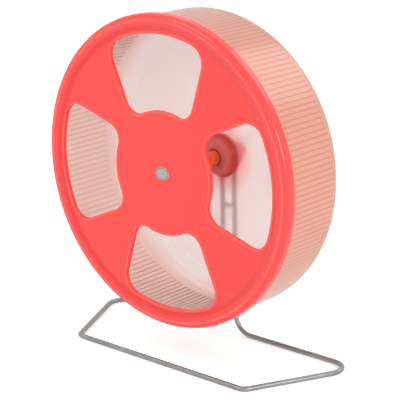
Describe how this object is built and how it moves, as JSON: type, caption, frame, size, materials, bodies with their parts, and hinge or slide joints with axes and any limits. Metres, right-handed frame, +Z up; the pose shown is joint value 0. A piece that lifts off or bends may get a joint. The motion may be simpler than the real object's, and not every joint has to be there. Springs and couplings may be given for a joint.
{
  "type": "rodent exercise wheel",
  "caption": "Rodent exercise wheel: translucent ribbed drum with a windowed front cover, turning on a ball bearing held by a bent wire stand.",
  "frame": {"origin": "on the floor under the axle, midway between the stand's front bar and the back of the rear cap", "axes": "+Z up, +Y along the axle from the windowed cover towards the stand's uprights, +X to the right as seen from the front"},
  "size_m": [0.2816, 0.1182, 0.314],
  "materials": {
    "coral_plastic": "smooth",
    "red_plastic": "smooth",
    "orange_plastic": "smooth",
    "milky_plastic": "smooth, translucent",
    "plate_metal": "satin",
    "stand_wire": "satin",
    "zinc_steel": "zinc plated",
    "bearing_steel": "ground",
    "cage_brass": "turned"
  },
  "bodies": {
    "stand": {"stand_frame": "stand_wire", "cross_rung": "stand_wire", "carrier_front": "coral_plastic", "carrier_rear": "coral_plastic", "rear_cap": "coral_plastic", "axle_bolt": "zinc_steel", "bolt_washer": "zinc_steel", "spacer_sleeve": "zinc_steel", "bearing_inner_ring": "bearing_steel", "front_washer": "zinc_steel", "lock_nut": "zinc_steel", "axle_cap": "orange_plastic"},
    "wheel": {"front_cover": "coral_plastic", "oval_plate": "plate_metal", "running_drum": "milky_plastic", "bearing_housing": "red_plastic", "bearing_outer_ring": "bearing_steel", "bearing_shields": "bearing_steel"},
    "rolling_set": {"bearing_balls": "bearing_steel", "bearing_cage": "cage_brass"}
  },
  "joints": [
    {"name": "wheel_spin", "type": "hinge", "parent": "stand", "child": "wheel", "pos_m": [0, 0, 0.174], "axis": [0, 1, 0], "continuous": true},
    {"name": "cage_spin", "type": "hinge", "parent": "stand", "child": "rolling_set", "pos_m": [0, 0, 0.174], "axis": [0, 1, 0], "continuous": true}
  ],
  "couplings": [
    {"joint": "cage_spin", "follows": "wheel_spin", "ratio": 0.64}
  ]
}
